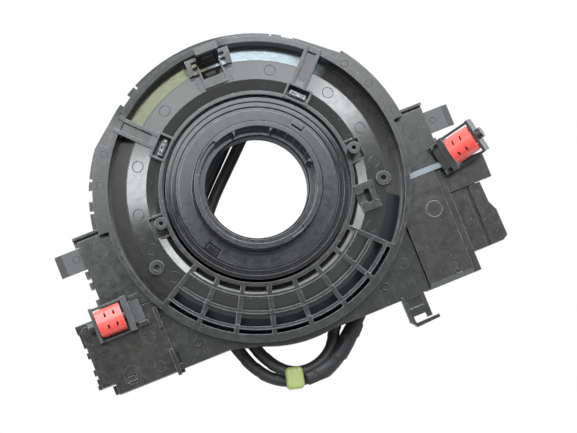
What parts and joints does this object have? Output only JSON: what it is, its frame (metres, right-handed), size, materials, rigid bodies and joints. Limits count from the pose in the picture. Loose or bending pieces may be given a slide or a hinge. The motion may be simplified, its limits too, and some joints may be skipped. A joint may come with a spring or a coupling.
{
  "type": "steering clock spring",
  "caption": "Steering clock spring with column switch bracket: ribbed round housing, turning hub with toothed cam sleeve, red lock clips and taped leads, seen from its column side",
  "frame": {"origin": "on the axis of the shaft bore, in the plane where the cancel cam sits on the rotor hub", "axes": "+Z along the steering shaft towards the column side, +Y towards the top snap hook, +X to the right when seen from the column side"},
  "size_m": [0.1804, 0.1468, 0.053],
  "materials": {
    "housing": "satin",
    "rotor": "satin",
    "latch": "satin",
    "clip": "satin",
    "flat_cable": "satin",
    "pins": "satin",
    "socket": "satin",
    "lead": "matte",
    "plug": "satin",
    "grey_plug": "satin",
    "tie": "satin"
  },
  "bodies": {
    "stator": {"stator_housing": "housing", "cable_case": "housing", "ribbon_cable": "flat_cable", "stator_lead_block": "rotor", "left_switch_case": "housing", "right_switch_case": "housing", "left_switch_terminals": "pins", "right_switch_terminals": "pins", "vehicle_connector": "housing", "vehicle_terminals": "pins"},
    "rotor": {"rotor_housing": "rotor", "rotor_lead_block": "rotor", "cancel_cam": "rotor", "wheel_socket": "socket", "wheel_terminals": "pins", "lead_clamp": "latch", "airbag_lead": "lead", "switch_lead": "lead", "airbag_plug": "plug", "switch_plug": "grey_plug", "harness_tie": "tie"},
    "left_latch": {"left_latch_frame": "latch"},
    "right_latch": {"right_latch_frame": "latch"},
    "left_clip": {"left_lock_clip": "clip"},
    "right_clip": {"right_lock_clip": "clip"}
  },
  "joints": [
    {"name": "rotor_turn", "type": "hinge", "parent": "stator", "child": "rotor", "pos_m": [0, 0, 0], "axis": [0, 0, 1], "range_deg": [-900, 900]},
    {"name": "left_latch_swing", "type": "hinge", "parent": "stator", "child": "left_latch", "pos_m": [-0.0616, -0.0276, -0.001], "axis": [0, 1, 0], "range_deg": [0, 60]},
    {"name": "right_latch_swing", "type": "hinge", "parent": "stator", "child": "right_latch", "pos_m": [0.074, -0.0162, -0.0015], "axis": [0.1908, -0.9816, 0], "range_deg": [-25, 35]},
    {"name": "left_clip_turn", "type": "hinge", "parent": "left_latch", "child": "left_clip", "pos_m": [-0.0676, -0.0276, 0.0034], "axis": [-1, 0, 0], "range_deg": [0, 70]},
    {"name": "right_clip_turn", "type": "hinge", "parent": "right_latch", "child": "right_clip", "pos_m": [0.07751, -0.01552, 0.00502], "axis": [0.8897, 0.1729, 0.4226], "range_deg": [0, 70]}
  ]
}
